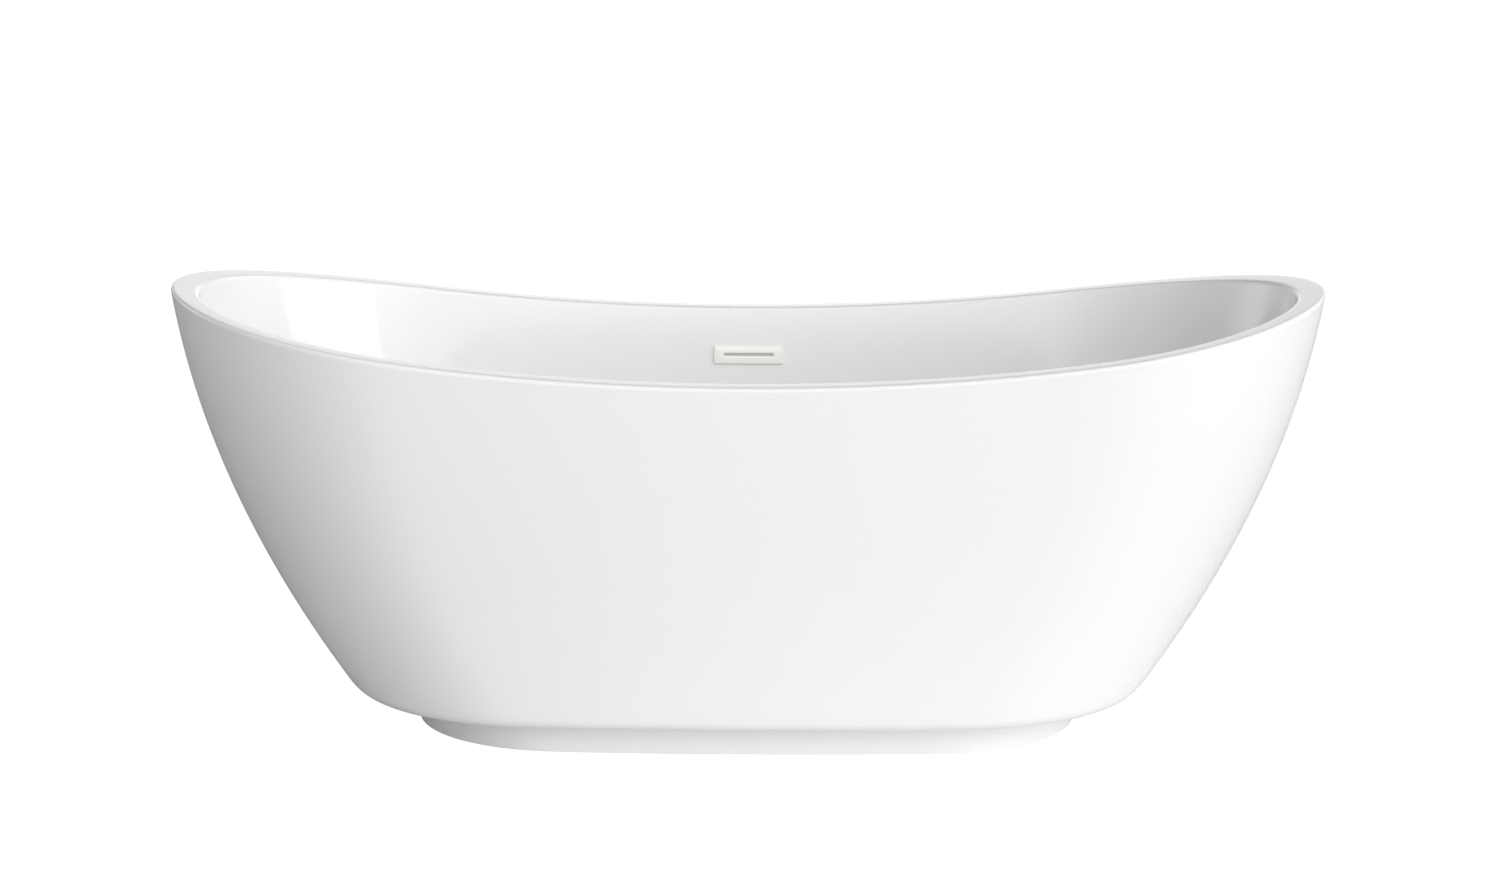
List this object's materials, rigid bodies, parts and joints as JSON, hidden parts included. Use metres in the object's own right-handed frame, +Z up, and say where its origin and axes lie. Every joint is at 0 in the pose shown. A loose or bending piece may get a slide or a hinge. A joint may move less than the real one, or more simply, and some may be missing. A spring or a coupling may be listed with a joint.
{
  "type": "freestanding bathtub",
  "caption": "Freestanding oval double-ended bath with a sweeping rim, recessed plinth, slotted overflow, press-down stopper and levelling feet.",
  "frame": {"origin": "on the floor under the middle of the bath", "axes": "+X along the bath's length, +Y towards the long side that holds the overflow, +Z up"},
  "size_m": [1.6998, 0.7998, 0.6569],
  "materials": {
    "white_acrylic": "polished sanitary acrylic",
    "white_trim": "glossy white trim, slightly warmer than the bath",
    "plywood": "raw birch plywood",
    "black_steel": "black powder coat",
    "zinc_steel": "zinc plated",
    "black_nylon": "moulded nylon",
    "chrome": "polished chrome plate",
    "brass": "machined brass",
    "black_rubber": "matt black rubber",
    "grey_plastic": "moulded grey plastic",
    "white_pipe": "white waste pipe",
    "grey_hose": "flexible grey hose"
  },
  "bodies": {
    "bath": {"base_board": "plywood", "base_screw_back_left": "zinc_steel", "base_screw_back_right": "zinc_steel", "base_screw_front_left": "zinc_steel", "base_screw_front_right": "zinc_steel", "basin": "white_acrylic", "bracket_back_left": "zinc_steel", "bracket_back_right": "zinc_steel", "bracket_bolt_back_left": "zinc_steel", "bracket_bolt_back_right": "zinc_steel", "bracket_bolt_front_left": "zinc_steel", "bracket_bolt_front_right": "zinc_steel", "bracket_front_left": "zinc_steel", "bracket_front_right": "zinc_steel", "cross_member_left": "black_steel", "cross_member_right": "black_steel", "drain_tee": "grey_plastic", "foot_locknut_1": "zinc_steel", "foot_locknut_2": "zinc_steel", "foot_locknut_3": "zinc_steel", "foot_locknut_4": "zinc_steel", "frame_rail_back": "black_steel", "frame_rail_front": "black_steel", "hose_clamp_lower": "zinc_steel", "hose_clamp_upper": "zinc_steel", "outer_skirt": "white_acrylic", "overflow_cover": "white_trim", "overflow_gasket": "black_rubber", "overflow_hose": "grey_hose", "overflow_housing": "grey_plastic", "overflow_screw_left": "zinc_steel", "overflow_screw_right": "zinc_steel", "plinth": "white_acrylic", "stopper_cartridge": "brass", "tail_slip_nut": "grey_plastic", "tail_washer": "black_rubber", "tailpiece": "white_pipe", "waste_flange": "chrome", "waste_lower_seal": "black_rubber", "waste_upper_seal": "black_rubber"},
    "stopper": {"stopper_cap": "white_trim", "stopper_seal": "black_rubber", "stopper_plunger": "chrome"},
    "foot_1": {"foot_pad_1": "black_nylon"},
    "stud_1": {"foot_stud_1": "zinc_steel"},
    "foot_2": {"foot_pad_2": "black_nylon"},
    "stud_2": {"foot_stud_2": "zinc_steel"},
    "foot_3": {"foot_pad_3": "black_nylon"},
    "stud_3": {"foot_stud_3": "zinc_steel"},
    "foot_4": {"foot_pad_4": "black_nylon"},
    "stud_4": {"foot_stud_4": "zinc_steel"}
  },
  "joints": [
    {"name": "stopper_press", "type": "slide", "parent": "bath", "child": "stopper", "axis": [0, 0, 1], "range_m": [-0.009, 0], "stiffness_N_per_m": 500, "springref_m": 0.02},
    {"name": "foot_1_height", "type": "slide", "parent": "bath", "child": "foot_1", "axis": [0, 0, 1], "range_m": [-0.012, 0.006]},
    {"name": "foot_1_turn", "type": "hinge", "parent": "foot_1", "child": "stud_1", "pos_m": [-0.33, -0.13, 0.05], "axis": [0, 0, 1], "range_deg": [-2500, 1300]},
    {"name": "foot_2_height", "type": "slide", "parent": "bath", "child": "foot_2", "axis": [0, 0, 1], "range_m": [-0.012, 0.006]},
    {"name": "foot_2_turn", "type": "hinge", "parent": "foot_2", "child": "stud_2", "pos_m": [0.33, -0.13, 0.05], "axis": [0, 0, 1], "range_deg": [-2500, 1300]},
    {"name": "foot_3_height", "type": "slide", "parent": "bath", "child": "foot_3", "axis": [0, 0, 1], "range_m": [-0.012, 0.006]},
    {"name": "foot_3_turn", "type": "hinge", "parent": "foot_3", "child": "stud_3", "pos_m": [0.33, 0.13, 0.05], "axis": [0, 0, 1], "range_deg": [-2500, 1300]},
    {"name": "foot_4_height", "type": "slide", "parent": "bath", "child": "foot_4", "axis": [0, 0, 1], "range_m": [-0.012, 0.006]},
    {"name": "foot_4_turn", "type": "hinge", "parent": "foot_4", "child": "stud_4", "pos_m": [-0.33, 0.13, 0.05], "axis": [0, 0, 1], "range_deg": [-2500, 1300]}
  ],
  "couplings": [
    {"joint": "foot_1_turn", "follows": "foot_1_height", "rad_per_m": 3590.4},
    {"joint": "foot_2_turn", "follows": "foot_2_height", "rad_per_m": 3590.4},
    {"joint": "foot_3_turn", "follows": "foot_3_height", "rad_per_m": 3590.4},
    {"joint": "foot_4_turn", "follows": "foot_4_height", "rad_per_m": 3590.4}
  ]
}
